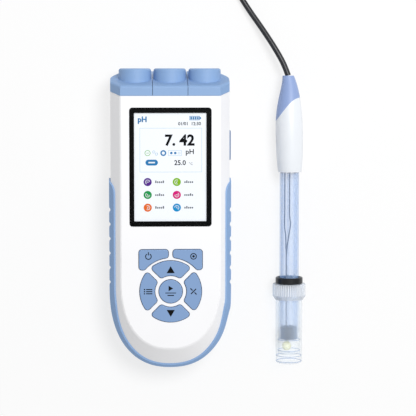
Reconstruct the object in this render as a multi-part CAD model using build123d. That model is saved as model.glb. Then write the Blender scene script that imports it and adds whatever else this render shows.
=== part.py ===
"""Handheld water meter with three covered sockets and a glass electrode in its storage bottle.

Both lie on their backs on a table. Millimetres. The origin is the middle of the meter's back face,
+Y points to the upper end with the sockets, +X to the probe, and +Z out of the display.
"""
import os
from math import copysign, cos, pi, radians, sin, tan

from build123d import *

os.makedirs("parts", exist_ok=True)

# Housing of the meter: its length is that of the window, the keypad and the margins round them
window_top_margin = 23.8
window_length = 72.6
window_to_keys = 14.1
upper_key_top = 25.8
ring_outer_radius = 18.95
keys_to_end = 29.75
overall_length = window_top_margin + window_length + window_to_keys + upper_key_top + ring_outer_radius + keys_to_end
y_top = overall_length / 2
thickness = 34.0
window_width = 50.1
window_side_margin = 5.45
bevel_width = 6.1
face_half_width = window_width / 2 + window_side_margin
body_half_width = face_half_width + bevel_width
bevel_depth = 9.5
side_flat_height = 7.5
back_inset = 9.0
end_bevel_length = 12.1
body_end_rise = 49.0
face_end_rise = 42.0
end_squareness = 2.3
face_wall = 2.4
side_wall = 3.0
edge_softening = 0.5
parting_height = 15.5

# Sloping upper end with its three rubber covers
end_slope = radians(14.5)
cover_joint_drop = 16.7
cover_block_length = 6.1
cover_pitch = 21.5
cover_boss_radius = 9.95
cover_boss_height = 17.0
cover_boss_rounding = 1.4
cover_block_rounding = 1.6
cover_split = 0.3
cover_top_wall = 1.8

# Grip band
grip_proud = 1.0
grip_sunk = 1.0
grip_tip_y = y_top - 67.6
grip_tip_length = 9.0
grip_front = 28.9
grip_front_end = 25.6
grip_fall_y = 40.0 - y_top
grip_back = 6.0
notch_count = 6
notch_pitch = 9.0
notch_first_y = grip_tip_y - 19.3
notch_radius = 2.0
notch_depth = 0.85

# Display
window_centre_y = y_top - window_top_margin - window_length / 2
window_thickness = 1.2
window_corner = 1.9
mask_thickness = 0.15
screen_side_border = 2.95
screen_end_border = 3.2
screen_width = window_width - 2 * screen_side_border
screen_length = window_length - 2 * screen_end_border
mask_overlap = 1.0
module_width = window_width + 0.9
module_length = window_length + 4.4
module_thickness = 2.9

# Keypad
pad_y = keys_to_end + ring_outer_radius - y_top
key_proud = 0.8
key_travel = 1.0
key_corner = 1.8
centre_key_radius = 7.2
ring_inner_radius = 9.8
ring_gap = 3.0
upper_key_inner_radius = 20.8
upper_key_half_width = 19.4
upper_key_split = 2.8
upper_key_bottom = 13.3
key_gap = 0.35
key_flange = 0.6
key_flange_thickness = 1.0
key_edge = 0.4

# Boards
board_thickness = 1.6
board_half_width = window_width / 2 - 0.05
board_top_y = y_top - 21.5
board_bottom_y = 18.5 - y_top
charge_board_length = 19.0
charge_board_width = 22.0
port_y = y_top - 47.2
port_height = 19.8

# Port cover
port_cover_length = 18.5
port_cover_height = 7.4
port_cover_thickness = 1.8
port_cover_proud = 0.8
port_opening_length = 9.8
port_opening_height = 4.0
usb_length = 8.94
usb_height = 3.26
usb_depth = 7.3

# Battery bay in the back
battery_width = 40.0
battery_length = 56.0
battery_thickness = 10.6
bay_y = 70.5 - y_top
bay_wall = 1.6
bay_ledge_side = 2.2
bay_ledge_end = 8.0
door_thickness = 2.0
gasket_width = 0.9
gasket_height = 0.8

# Screws and their posts
post_radius = 3.4
post_x = body_half_width - 7.6
upper_post_y = y_top - 30.5
lower_post_y = 42.5 - y_top
lower_post_x = body_half_width - 8.2
case_screw_radius = 1.4
case_screw_head_radius = 2.45
case_screw_head_height = 1.8
case_screw_reach = 8.0
small_screw_radius = 1.0
small_screw_head_radius = 1.9
small_screw_head_height = 1.3

# Sockets under the covers
panel_thickness = 3.0
panel_pad_radius = 7.4
panel_pad_rise = 2.2
socket_flange_thickness = 0.8
nut_thickness = 2.0
nut_radius = 6.6
socket_floor = 2.0
lug_rise = 0.6
lug_radius = 0.9
lug_setback = 2.6
core_post_radius = 2.4
core_setback = 1.6
contact_hole_radius = 0.55
bnc_radius = 4.83
bnc_wall = 0.75
din_radius = 5.2
phono_radius = 4.2

# Clearances
seat_gap = 0.1
soft_gap = 0.3
flat_gap = 0.15

# Probe, lying beside the meter
probe_x = 75.0
probe_top_y = 88.0
stem_radius = 6.03
stem_wall = 0.9
stem_bottom_y = -77.5
cap_length = 60.0
cap_socket_depth = 10.0
boot_exit_shift = -1.1
cable_radius = 1.8
inner_tube_radius = 2.9
inner_tube_wall = 0.6
inner_tube_shift = (1.35, -1.2)
lead_radius = 0.35
plug_length = 7.8
bulb_radius = 2.9
bulb_shift = -1.4
bulb_drop = 4.6
bulb_neck_radius = 1.3

# Storage bottle, its collar and rubber ring
bottle_radius = 8.35
bottle_wall = 1.25
bottle_bottom_y = -92.7
bottle_base = 5.6
neck_radius = 7.6
neck_bore = 6.5
collar_radius = 10.35
collar_top_y = -42.3
collar_length = 10.2
collar_taper_length = 2.4
collar_roof = 2.5
collar_hole_radius = 7.3
knurl_count = 36
knurl_depth = 0.35
ring_radius = 8.55
ring_thickness = 4.0
ring_lip = 1.3

# Cable, its coil and its plug
coil_centre = (55.0, 172.0)
coil_mean_radius = 21.0
coil_width = 11.6
coil_height = 7.6
bnc_plug_start = (97.0, 194.0, 7.4)
bnc_plug_boot_length = 14.0
bnc_plug_body_length = 11.0
bnc_plug_body_radius = 5.4
sleeve_radius = 7.2
sleeve_length = 12.5

# Smaller sizes of posts, boards, bay and covers
ledge_width = 1.5
ledge_thickness = 1.6
board_post_x = 21.0
board_post_top_y = pad_y + 32.8
board_low_post_x = 12.0
board_low_post_y = board_bottom_y + 5.0
board_post_radius = 2.3
thread_gap = 0.03
mat_margin = 2.0
mat_rim = 1.2
bay_corner = 2.5
gasket_inset = 0.6
case_gasket_inset = 1.55
door_rib_count = 5
door_rib_pitch = 4.0
door_rib_depth = 0.5
door_screw_reach = 5.0
charge_screw_reach = 5.0
case_screw_seat = 7.0
port_corner = 1.8
port_opening_corner = 1.2
port_tongue_length = 2.5
screen_glass = 0.5
socket_thread_radius = 4.7
socket_flange_radius = 5.9
board_packages = [
    ((-8, 41), (14, 14, 1.4)), ((10, 63), (9, 9, 1.0)), ((-12, 73), (7, 5, 1.8)), ((12, 23), (6, 10, 2.2)),
]

# Probe handle: distance from the cable's exit, radius and sideways lean at each place
cap_profile = [
    (0, 3.55, -1.1), (12.9, 6.45, -0.25), (24.7, 8.15, -0.4),
    (cap_length - 22, 8.55, -0.2), (cap_length - 10, 8.2, 0), (cap_length, 7.3, 0.2),
]
seam_points = [(11, 13.6), (6.5, 13.5), (2.6, 14.6), (-1.6, 18.2), (-7.2, 25.6), (-12, 33)]
lead_rise = 2.4
lead_join = (-2.1, -22.6)
left_lead = [(-3.1, 0.2), (-3.3, -6.3), (-2.5, -10.8)]
right_lead = [(-0.1, 0.2), (0.7, -4.0), (-0.5, -11.8)]
lead_bead = (-2.15, -19.4)
ring_gap_to_stem = 0.17
plug_sleeve_radius = 4.0
cable_lead_route = [
    (73.9, 88.0, 10.4), (71.9, 93.6, 10.2), (68.7, 99.9, 9.7), (64.1, 107.6, 8.5), (57.6, 117.6, 6.2),
    (49.9, 128.6, 3.6), (42.6, 140.2, 2.2), (37.6, 152.0, 1.95), (35.6, 159.0, 1.95),
]
cable_tail_route = [
    (69.5, 192.2, 5.6), (77.0, 191.7, 4.4), (85.0, 192.8, 5.4), (92.0, 194.0, 7.3), (97.0, 194.0, 7.4),
]

# Places that follow from the sizes above
body_bottom_y = -overall_length / 2 + grip_proud
face_bottom_y = body_bottom_y + end_bevel_length
body_shoulder_y = body_bottom_y + body_end_rise
face_shoulder_y = face_bottom_y + face_end_rise
bevel_foot = thickness - bevel_depth
back_start = bevel_foot - side_flat_height
bevel_slope = (body_half_width - face_half_width) / bevel_depth
face_inside = thickness - face_wall
head_y = y_top + 15.0
reach = 2 * overall_length
across_y = {"x_dir": (1, 0, 0), "z_dir": (0, 1, 0)}
across_x = {"x_dir": (0, 1, 0), "z_dir": (1, 0, 0)}
slope_normal = (0, cos(end_slope), sin(end_slope))
joint_plane = Plane(origin=(0, y_top - cover_joint_drop, thickness), x_dir=(1, 0, 0), z_dir=slope_normal)
block_rise = cover_block_length * cos(end_slope)
cover_axis_joint_y = y_top - cover_joint_drop + (thickness - cover_boss_height) * tan(end_slope)
probe_z = collar_radius + 0.05

bay_width = battery_width + 2 * soft_gap
bay_length = battery_length + 2 * soft_gap
bay_roof = door_thickness + seat_gap + battery_thickness + soft_gap
module_top = face_inside - soft_gap
board_top = module_top - module_thickness - seat_gap
mat_top = face_inside - seat_gap - key_flange_thickness - key_travel - 0.2
charge_board_top = port_height - usb_height / 2
charge_board_low = charge_board_top - board_thickness
charge_board_edge = body_half_width - side_wall - soft_gap - 0.6

cap_low_y = probe_top_y - cap_length
socket_seat_y = cover_axis_joint_y + panel_pad_rise
socket_end_y = y_top - cover_top_wall - soft_gap
collar_low_y = collar_top_y - collar_length
neck_top_y = collar_top_y - collar_roof - flat_gap
inner_tube_top = cap_low_y + cap_socket_depth - 2 * seat_gap


def outline(half_width, shoulder, bottom):
    """Plan outline: straight sides and a squarish rounded lower end, as a face at Z = 0."""
    rise = shoulder - bottom
    power = 2 / end_squareness
    steps = 12
    points = []
    for step in range(steps + 1):
        turn = pi * step / steps
        across = half_width * copysign(abs(cos(turn)) ** power, -cos(turn))
        points.append((across, shoulder - rise * abs(sin(turn)) ** power))
    lower_end = Spline(points, tangents=[(0, -1), (0, 1)])
    upper_end = [(half_width, shoulder), (half_width, head_y), (-half_width, head_y), (-half_width, shoulder)]
    return make_face(lower_end + Polyline(*upper_end))


def bevel_section(height, offset):
    """Plan section of the housing at a height on its bevelled edge, moved outwards by offset."""
    drop = thickness - height
    share = drop / bevel_depth
    half_width = face_half_width + drop * bevel_slope + offset
    shoulder = face_shoulder_y + (body_shoulder_y - face_shoulder_y) * share
    bottom = face_bottom_y - end_bevel_length * share - offset
    return Pos(0, 0, height) * outline(half_width, shoulder, bottom)


def back_section(height, offset):
    """Plan section of the housing at a height on its rounded back."""
    share = (back_start - height) / back_start
    inset = back_inset * share**1.6
    half_width = body_half_width - inset + offset
    return Pos(0, 0, height) * outline(half_width, body_shoulder_y, body_bottom_y + inset - offset)


def housing(offset=0.0, face=thickness, floor=0.0, softening=0.0):
    """The housing's form, moved outwards by offset, between a face height and a floor height."""
    fronts = [bevel_section(bevel_foot, offset), back_section(back_start, offset)]
    if softening:
        fronts.insert(0, bevel_section(face - softening, offset))
        fronts.insert(0, bevel_section(face, offset - softening))
    else:
        fronts.insert(0, bevel_section(face, offset))
    front = loft(fronts, ruled=True)
    heights = [back_start + (floor - back_start) * share for share in (0, 0.3, 0.6, 0.85, 1)]
    return front + loft([back_section(height, offset) for height in heights])


def above_joint(rise=0.0, depth=200.0):
    """Everything above the sloping joint of the covers, raised by rise."""
    return extrude(joint_plane.offset(rise) * Rectangle(reach, reach), depth)


def tube_y(outer, inner, low, high, axis_x, axis_z):
    """A tube or rod along Y between two places."""
    ring = Circle(outer) - Circle(inner) if inner else Circle(outer)
    return extrude(Plane(origin=(axis_x, low, axis_z), **across_y) * ring, high - low)


def post(centre_x, centre_y, low, high, radius):
    """An upright round post between two heights."""
    return Pos(centre_x, centre_y, low) * extrude(Circle(radius), high - low)


def plate(width, length, centre, low, high, corner):
    """A flat plate with rounded corners between two heights."""
    return Pos(centre[0], centre[1], low) * extrude(RectangleRounded(width, length, corner), high - low)


def screw(centre, head_low, radius, head_radius, head_height, shank):
    """A pan-head screw that points up, with a cross slot in its head."""
    head = post(*centre, head_low, head_low + head_height, head_radius)
    head = fillet(head.edges().sort_by(Axis.Z)[0], head_height * 0.35)
    for turn in (0, 90):
        slot = extrude(Rectangle(head_radius, head_radius * 0.25), head_height * 0.5)
        head -= Pos(*centre, head_low) * Rot(0, 0, turn) * slot
    return head + post(*centre, head_low, head_low + head_height + shank, radius)


def sketch_keys():
    """Plan shapes of the seven keys, about the middle of the keypad."""
    ring = Circle(ring_outer_radius) - Circle(ring_inner_radius)
    for turn in (45, 135):
        ring -= Rot(0, 0, turn) * Rectangle(3 * ring_outer_radius, ring_gap)
    segments = ring.faces()
    shapes = {
        "key_up": segments.sort_by(Axis.Y)[-1],
        "key_down": segments.sort_by(Axis.Y)[0],
        "key_left": segments.sort_by(Axis.X)[0],
        "key_right": segments.sort_by(Axis.X)[-1],
    }
    block = Rectangle(upper_key_half_width - upper_key_split / 2, upper_key_top - upper_key_bottom)
    middle_x = (upper_key_half_width + upper_key_split / 2) / 2
    middle_y = (upper_key_top + upper_key_bottom) / 2
    for name, side in (("key_upper_left", -1), ("key_upper_right", 1)):
        shape = Pos(side * middle_x, middle_y) * block - Circle(upper_key_inner_radius)
        shapes[name] = shape.faces().sort_by(Axis.Y)[-1]
    rounded = {name: shape.fillet_2d(key_corner, shape.vertices()) for name, shape in shapes.items()}
    rounded["key_centre"] = Circle(centre_key_radius)
    return rounded


def key(shape):
    """A key that stands out of the face, with the flange that holds it in from below."""
    flange_top = face_inside - seat_gap
    cap = Pos(0, pad_y, flange_top) * extrude(shape, thickness + key_proud - flange_top)
    cap = fillet(cap.faces().sort_by(Axis.Z)[-1].edges(), key_edge)
    flange = extrude(offset(shape, key_flange), key_flange_thickness)
    return cap + Pos(0, pad_y, flange_top - key_flange_thickness) * flange


def grip_band():
    """The soft band round both sides and the lower end, narrowing to an arch at its upper tips."""
    arch_y = grip_tip_y - grip_tip_length
    middle = (grip_front + grip_back) / 2
    corners = [
        (arch_y, grip_back), (arch_y, grip_front), (grip_fall_y, grip_front),
        (-y_top, grip_front_end), (-overall_length, grip_front_end), (-overall_length, grip_back),
    ]
    arch = Pos(arch_y, middle) * Ellipse(grip_tip_length, (grip_front - grip_back) / 2)
    side_view = make_face(Polyline(*corners, close=True)) + arch
    zone = Pos(-reach / 2, 0, 0) * extrude(Plane.YZ * side_view, reach)
    band = (housing(grip_proud) & zone) - housing(-grip_sunk)
    notch_x = body_half_width + grip_proud + notch_radius - notch_depth
    for number in range(notch_count):
        for side in (-1, 1):
            centre_y = notch_first_y - number * notch_pitch
            band -= post(side * notch_x, centre_y, 0, thickness, notch_radius)
    return band


def upper_half():
    """Everything above the parting plane of the two shells."""
    return Pos(0, 0, parting_height) * extrude(Rectangle(reach, reach), reach)


def lower_half():
    """Everything below the parting plane of the two shells."""
    return Pos(0, 0, parting_height) * extrude(Rectangle(reach, reach), -reach)


def case_posts():
    """Centres of the four case screws."""
    upper = [(side * post_x, upper_post_y) for side in (-1, 1)]
    return upper + [(side * lower_post_x, lower_post_y) for side in (-1, 1)]


def board_posts():
    """Centres of the main board's four screws."""
    upper = [(side * board_post_x, board_post_top_y) for side in (-1, 1)]
    return upper + [(side * board_low_post_x, board_low_post_y) for side in (-1, 1)]


def hollow_case(band):
    """Both shells' walls in one piece, with the ledge behind the socket panel and the band's seat."""
    cavity = housing(-side_wall, face_inside, face_wall)
    inner = housing(-side_wall - ledge_width, face_inside - ledge_width, face_wall + ledge_width)
    ledge_plane = joint_plane.offset(-panel_thickness - seat_gap)
    ledge_zone = extrude(ledge_plane * Rectangle(reach, reach), -ledge_thickness)
    walls = housing(softening=edge_softening) - cavity + ((cavity - inner) & ledge_zone)
    return walls - above_joint() - band


def port_recess():
    """The side port: a shallow seat for its rubber cover and the opening for the plug."""
    place = Plane(origin=(body_half_width, port_y, port_height), **across_x)
    floor = place.offset(port_cover_proud - port_cover_thickness - flat_gap)
    seat = RectangleRounded(port_cover_length + 2 * soft_gap, port_cover_height + 2 * soft_gap, port_corner)
    opening = RectangleRounded(port_opening_length, port_opening_height, port_opening_corner)
    return extrude(floor * seat, side_wall) + extrude(place.offset(-side_wall - 1) * opening, side_wall + 2)


def front_shell(walls, key_shapes):
    """Upper moulding: window opening with the pane's seat, key openings, screw posts and side port."""
    shell = walls & upper_half()
    solid_form = housing(-seat_gap, thickness - seat_gap)
    posts = Part() + [post(*centre, parting_height, face_inside, post_radius) for centre in case_posts()]
    shell += posts & solid_form
    shell += [post(*centre, board_top, face_inside, board_post_radius) for centre in board_posts()]
    middle = (0, window_centre_y)
    seat_low = thickness - window_thickness - mask_thickness
    seat_size = (window_width + 2 * seat_gap, window_length + 2 * seat_gap)
    shell -= plate(*seat_size, middle, seat_low, thickness + 1, window_corner + seat_gap)
    opening = (screen_width + 2 * mask_overlap, screen_length + 2 * mask_overlap)
    shell -= plate(*opening, middle, face_inside - 1, thickness, window_corner / 2)
    for shape in key_shapes.values():
        hole = offset(shape, key_gap)
        shell -= Pos(0, pad_y, face_inside - 1) * extrude(hole, face_wall + 2)
    hole_end = parting_height + case_screw_reach + 0.5
    for centre in case_posts():
        shell -= post(*centre, parting_height - 1, hole_end, case_screw_radius + thread_gap)
    for centre in board_posts():
        shell -= post(*centre, board_top - 1, face_inside - 0.4, small_screw_radius + thread_gap)
    return shell - port_recess()


def bay_plan(margin_x, margin_y, corner):
    """Plan of the battery bay, widened by margins."""
    return RectangleRounded(bay_width + 2 * margin_x, bay_length + 2 * margin_y, corner)


def gasket_plan(clearance):
    """Plan of the rubber ring round the battery bay, narrower than its groove by a clearance each side."""
    low = gasket_inset + clearance
    high = gasket_inset + gasket_width - clearance
    return bay_plan(high, high, bay_corner) - bay_plan(low, low, bay_corner)


def back_shell(walls, gasket):
    """Lower moulding: rounded back, battery bay with the door's seat, and posts for screws and board."""
    shell = (walls & lower_half()) - gasket
    solid_form = housing(-seat_gap, thickness, seat_gap)
    posts = Part() + [post(*centre, 0, parting_height, post_radius) for centre in case_posts()]
    shell += posts & solid_form
    place = Pos(0, bay_y, 0)
    ledge = bay_plan(bay_ledge_side + bay_wall, bay_ledge_end + bay_wall, bay_corner + bay_wall)
    shell += place * extrude(ledge, door_thickness + seat_gap + face_wall)
    shell += place * extrude(bay_plan(bay_wall, bay_wall, bay_corner), bay_roof + bay_wall)
    for centre in door_screws():
        shell += post(*centre, 0, door_thickness + door_screw_reach + bay_wall, small_screw_radius + bay_wall)
    shell -= place * extrude(bay_plan(0, 0, bay_corner), bay_roof)
    shell -= place * extrude(bay_plan(bay_ledge_side, bay_ledge_end, bay_corner), door_thickness + seat_gap)
    shell -= place * extrude(gasket_plan(0), door_thickness + gasket_height)
    hole_low = charge_board_low - charge_screw_reach
    for centre in charge_posts():
        shell += post(*centre, face_wall / 2, charge_board_low, board_post_radius)
        shell -= post(*centre, hole_low, charge_board_low + 1, small_screw_radius + thread_gap)
    for centre in case_posts():
        shell -= post(*centre, -1, case_screw_seat, case_screw_head_radius + soft_gap)
        shell -= post(*centre, 0, parting_height + 1, case_screw_radius + seat_gap)
    for centre in door_screws():
        shell -= post(*centre, 0, door_thickness + door_screw_reach, small_screw_radius + thread_gap)
    return shell - port_recess()


def door_screws():
    """Centres of the two screws of the battery door."""
    return [(0, bay_y + side * (bay_length + bay_ledge_end) / 2) for side in (-1, 1)]


def charge_posts():
    """Centres of the charging board's four posts."""
    low_x = charge_board_edge - charge_board_width
    places = []
    for centre_x in (low_x + board_post_radius, charge_board_edge - 2 * board_post_radius - usb_depth):
        for side in (-1, 1):
            places.append((centre_x, port_y + side * (charge_board_length / 2 - board_post_radius)))
    return places


def case_gasket():
    """Rubber cord along the parting line, U-shaped, ending short of the socket panel."""
    outer = outline(body_half_width - case_gasket_inset, body_shoulder_y, body_bottom_y + case_gasket_inset)
    inset = case_gasket_inset + gasket_width
    inner = outline(body_half_width - inset, body_shoulder_y, body_bottom_y + inset)
    cord = Pos(0, 0, parting_height - gasket_height) * extrude(outer - inner, gasket_height)
    return cord - above_joint(-panel_thickness - ledge_thickness - 1)


def battery_door():
    """The door in the back, flush with it, with finger ribs and sunk screw seats."""
    plan = bay_plan(bay_ledge_side - seat_gap, bay_ledge_end - seat_gap, bay_corner - seat_gap)
    door = Pos(0, bay_y, 0) * extrude(plan, door_thickness)
    for number in range(door_rib_count):
        middle = (0, bay_y + (number - (door_rib_count - 1) / 2) * door_rib_pitch)
        door -= plate(battery_width / 2, door_rib_pitch / 3, middle, -1, door_rib_depth, door_rib_pitch / 7)
    for centre in door_screws():
        door -= post(*centre, -1, small_screw_head_height + 0.3, small_screw_head_radius + 0.2)
        door -= post(*centre, -1, door_thickness + 1, small_screw_radius + seat_gap)
    return door


def door_gasket():
    """Rubber ring in the groove round the battery bay."""
    return Pos(0, bay_y, door_thickness) * extrude(gasket_plan(thread_gap), gasket_height)


def battery_pack():
    """Flat rechargeable pack with rounded edges."""
    low = door_thickness + seat_gap
    cell = plate(battery_width, battery_length, (0, bay_y), low, low + battery_thickness, bay_corner)
    return fillet(cell.faces().filter_by(Axis.Z).edges(), bay_corner * 0.6)


def display_parts():
    """Pane, black mask, screen and display module, stacked under the window."""
    middle = (0, window_centre_y)
    pane_low = thickness - window_thickness
    pane = plate(window_width, window_length, middle, pane_low, thickness, window_corner)
    mask = plate(window_width, window_length, middle, pane_low - mask_thickness, pane_low, window_corner)
    mask -= plate(screen_width, screen_length, middle, pane_low - 1, pane_low + 1, 0.4)
    screen_margin = mask_overlap - soft_gap
    screen_size = (screen_width + 2 * screen_margin, screen_length + 2 * screen_margin)
    screen = plate(*screen_size, middle, module_top, module_top + screen_glass, 0.5)
    module = plate(module_width, module_length, middle, module_top - module_thickness, module_top, 1.0)
    return pane, mask, screen, module


def main_board():
    """Main board, rounded to the case's lower end, with screw holes and a few packages underneath."""
    low = board_top - board_thickness
    length = board_top_y - board_bottom_y
    blank = Pos(0, board_bottom_y + length / 2) * Rectangle(2 * board_half_width, length)
    plan = outline(face_half_width, face_shoulder_y, board_bottom_y) & blank
    board = Pos(0, 0, low) * extrude(plan, board_thickness)
    for centre in board_posts():
        board -= post(*centre, 0, thickness, small_screw_radius + seat_gap)
    for centre, size in board_packages:
        corner = Pos(centre[0], board_top_y - centre[1], low - size[2])
        board += corner * extrude(Rectangle(size[0], size[1]), size[2])
    return board


def keypad_mat():
    """Rubber mat on the board under the keys, with a raised rim against the front shell."""
    width = 2 * (upper_key_half_width + key_flange + mat_margin)
    top_y = pad_y + upper_key_top + key_flange + mat_margin
    bottom_y = pad_y - ring_outer_radius - key_flange - mat_margin
    centre = (0, (top_y + bottom_y) / 2)
    mat = plate(width, top_y - bottom_y, centre, board_top, face_inside, 3 * key_corner)
    inner = (width - 2 * mat_rim, top_y - bottom_y - 2 * mat_rim)
    mat -= plate(*inner, centre, mat_top, thickness, 3 * key_corner - mat_rim)
    return mat


def charging_board():
    """Small board behind the side port."""
    centre = (charge_board_edge - charge_board_width / 2, port_y)
    board = plate(charge_board_width, charge_board_length, centre, charge_board_low, charge_board_top, 0.8)
    for place in charge_posts():
        board -= post(*place, 0, thickness, small_screw_radius + seat_gap)
    board += Pos(centre[0] - 2, port_y, charge_board_top) * extrude(Rectangle(7, 7), 1.2)
    return board


def usb_socket():
    """Pressed-steel socket shell with its tongue."""
    place = Plane(origin=(charge_board_edge - usb_depth + 0.6, port_y, port_height), **across_x)
    outer = RectangleRounded(usb_length, usb_height, usb_height / 2 - 0.05)
    inner = RectangleRounded(usb_length - 0.6, usb_height - 0.6, usb_height / 2 - 0.36)
    shell = extrude(place * outer, usb_depth) - extrude(place.offset(1) * inner, usb_depth)
    return shell + extrude(place.offset(0.5) * Rectangle(usb_length * 0.7, 0.7), usb_depth - 1.2)


def port_cover():
    """Rubber flap that fills the side port's seat, with a tongue into the opening."""
    place = Plane(origin=(body_half_width + port_cover_proud, port_y, port_height), **across_x)
    face = RectangleRounded(port_cover_length, port_cover_height, port_corner)
    flap = extrude(place * face, -port_cover_thickness)
    flap = fillet(flap.faces().sort_by(Axis.X)[-1].edges(), port_cover_proud * 0.8)
    tongue_size = (port_opening_length - 4 * soft_gap, port_opening_height - 2 * soft_gap)
    tongue = RectangleRounded(*tongue_size, port_opening_corner)
    return flap + extrude(place.offset(-port_cover_thickness / 2) * tongue, -port_tongue_length)


def cover_centres():
    """Places of the three sockets across the upper end."""
    return [-cover_pitch, 0.0, cover_pitch]


def pad_low():
    """Where the back of each socket pad lies, clear of the sloping panel all round."""
    deepest = panel_pad_radius * tan(end_slope) + panel_thickness / cos(end_slope)
    return cover_axis_joint_y - deepest - seat_gap


def socket_panel():
    """Plate that closes the upper end, with three round pads square to the sockets."""
    plate_form = housing(-side_wall - seat_gap, face_inside - seat_gap, face_wall + seat_gap)
    slab = extrude(joint_plane * Rectangle(reach, reach), -panel_thickness)
    panel = plate_form & slab
    for centre_x in cover_centres():
        panel += tube_y(panel_pad_radius, 0, pad_low(), socket_seat_y, centre_x, cover_boss_height)
    for centre_x in cover_centres():
        panel -= tube_y(socket_thread_radius + seat_gap / 2, 0, 0, y_top, centre_x, cover_boss_height)
    return panel


def socket_body(centre_x, radius, wall, lugs):
    """Metal socket: threaded tail through the panel, flange, and a barrel that the cover hides."""
    flange_top = socket_seat_y + socket_flange_thickness
    place = (centre_x, cover_boss_height)
    body = tube_y(socket_thread_radius, 0, pad_low() - nut_thickness - 1, socket_seat_y, *place)
    body += tube_y(socket_flange_radius, 0, socket_seat_y, flange_top, *place)
    body += tube_y(radius, 0, flange_top, socket_end_y, *place)
    body -= tube_y(radius - wall, 0, flange_top - socket_floor, y_top, *place)
    if lugs:
        tip = (centre_x - radius - lug_rise, socket_end_y - lug_setback, cover_boss_height)
        lug = extrude(Plane(origin=tip, **across_x) * Circle(lug_radius), 2 * (radius + lug_rise))
        body += lug - tube_y(radius - wall, 0, 0, y_top, *place)
    return body


def socket_core(centre_x, radius, wall, pins):
    """Insulator inside a socket, with its contact holes."""
    floor = socket_seat_y + socket_flange_thickness - socket_floor
    place = (centre_x, cover_boss_height)
    core_radius = core_post_radius if pins == 1 else radius - wall - seat_gap / 2
    core = tube_y(core_radius, 0, floor, socket_end_y - core_setback, *place)
    for number in range(pins):
        turn = 2 * pi * number / pins
        spread = 0 if pins == 1 else radius * 0.45
        hole = (centre_x + spread * sin(turn), cover_boss_height + spread * cos(turn))
        core -= tube_y(contact_hole_radius, 0, floor + socket_floor / 2, y_top, *hole)
    return core


def socket_nuts():
    """Three hexagonal lock nuts behind the panel."""
    nuts = []
    ring = RegularPolygon(nut_radius, 6) - Circle(socket_thread_radius + seat_gap / 2)
    for centre_x in cover_centres():
        place = Plane(origin=(centre_x, pad_low() - nut_thickness, cover_boss_height), **across_y)
        nuts.append(extrude(place * ring, nut_thickness))
    return nuts


def on_split(edge, low_x, high_x):
    """Whether an edge lies on the plane between two neighbouring covers."""
    place = edge.center().X
    return abs(place - low_x) < 0.01 or abs(place - high_x) < 0.01


def socket_cover(centre_x, low_x, high_x):
    """Rubber cover: a slice of the sloping block with a round boss that hides one socket."""
    block = housing() & extrude(joint_plane.offset(flat_gap) * Rectangle(reach, reach), block_rise - flat_gap)
    span = Pos((low_x + high_x) / 2, y_top, 0) * extrude(Rectangle(high_x - low_x, 2 * head_y), thickness)
    block = block & span
    sloping = block.faces().sort_by(Axis((0, 0, 0), slope_normal))[-1]
    front = [edge for edge in sloping.edges() if edge.center().Z > bevel_foot]
    block = fillet([edge for edge in front if not on_split(edge, low_x, high_x)], cover_block_rounding)
    boss = tube_y(cover_boss_radius, 0, cover_axis_joint_y - 4, y_top, centre_x, cover_boss_height)
    boss = fillet(boss.faces().sort_by(Axis.Y)[-1].edges(), cover_boss_rounding) & above_joint(flat_gap)
    cover = block + boss
    place = (centre_x, cover_boss_height)
    cover -= tube_y(panel_pad_radius + soft_gap, 0, 0, socket_seat_y + soft_gap, *place)
    return cover - tube_y(socket_flange_radius + soft_gap, 0, 0, y_top - cover_top_wall, *place)


def probe_plane(place_y, shift=0.0):
    """A plane square to the probe at a place along it."""
    return Plane(origin=(probe_x + shift, place_y, probe_z), **across_y)


def turned(points, centre_x, centre_z):
    """A solid turned about a line along Y, from its half profile of radius and place."""
    profile = Pos(centre_x, 0, centre_z) * make_face(Polyline(*points, close=True))
    return revolve(profile, Axis((centre_x, 0, centre_z), (0, 1, 0)))


def cap_form():
    """The handle's form from the cable's exit to the stem, slightly leaning at its upper end."""
    rings = [probe_plane(probe_top_y - along, shift) * Circle(radius) for along, radius, shift in cap_profile]
    return loft(rings)


def boot_zone():
    """The part of the handle above the S-shaped seam."""
    points = [(probe_x + across, probe_top_y - along) for across, along in seam_points]
    top = probe_top_y + 5
    frame = Polyline(points[-1], (points[-1][0], top), (points[0][0], top), points[0])
    zone = extrude(make_face(Spline(points) + frame), 4 * collar_radius)
    return Pos(0, 0, probe_z - 2 * collar_radius) * zone


def bend_boot():
    """Soft blue cone round the cable."""
    return cap_form() & boot_zone()


def probe_cap():
    """White handle with the bore that holds the stem."""
    bore_top = cap_low_y + cap_socket_depth
    bore = tube_y(stem_radius + seat_gap / 2, 0, cap_low_y - 1, bore_top, probe_x, probe_z)
    return cap_form() - boot_zone() - bore


def outer_tube():
    """Clear stem tube."""
    top = cap_low_y + cap_socket_depth - seat_gap
    return tube_y(stem_radius, stem_radius - stem_wall, stem_bottom_y, top, probe_x, probe_z)


def inner_tube():
    """Thinner glass tube inside the stem, off its axis."""
    place = (probe_x + inner_tube_shift[0], probe_z + inner_tube_shift[1])
    low = stem_bottom_y + plug_length
    return tube_y(inner_tube_radius, inner_tube_radius - inner_tube_wall, low, inner_tube_top, *place)


def lead_wires():
    """Two thin leads in the stem that join into one above the base plug."""
    height = probe_z + lead_rise
    merged = (probe_x + lead_join[0], lead_join[1], height)
    foot = (probe_x + lead_join[0] + 0.1, stem_bottom_y + plug_length, height)
    wires = Part()
    for bends in (left_lead, right_lead):
        route = [(probe_x + bends[0][0], cap_low_y, height)]
        route += [(probe_x + across, along, height) for across, along in bends]
        route += [merged, foot]
        wires += tube_along(route, lead_radius)
    return wires + Pos(probe_x + lead_bead[0], lead_bead[1], height) * Sphere(lead_radius * 1.7)


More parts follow.
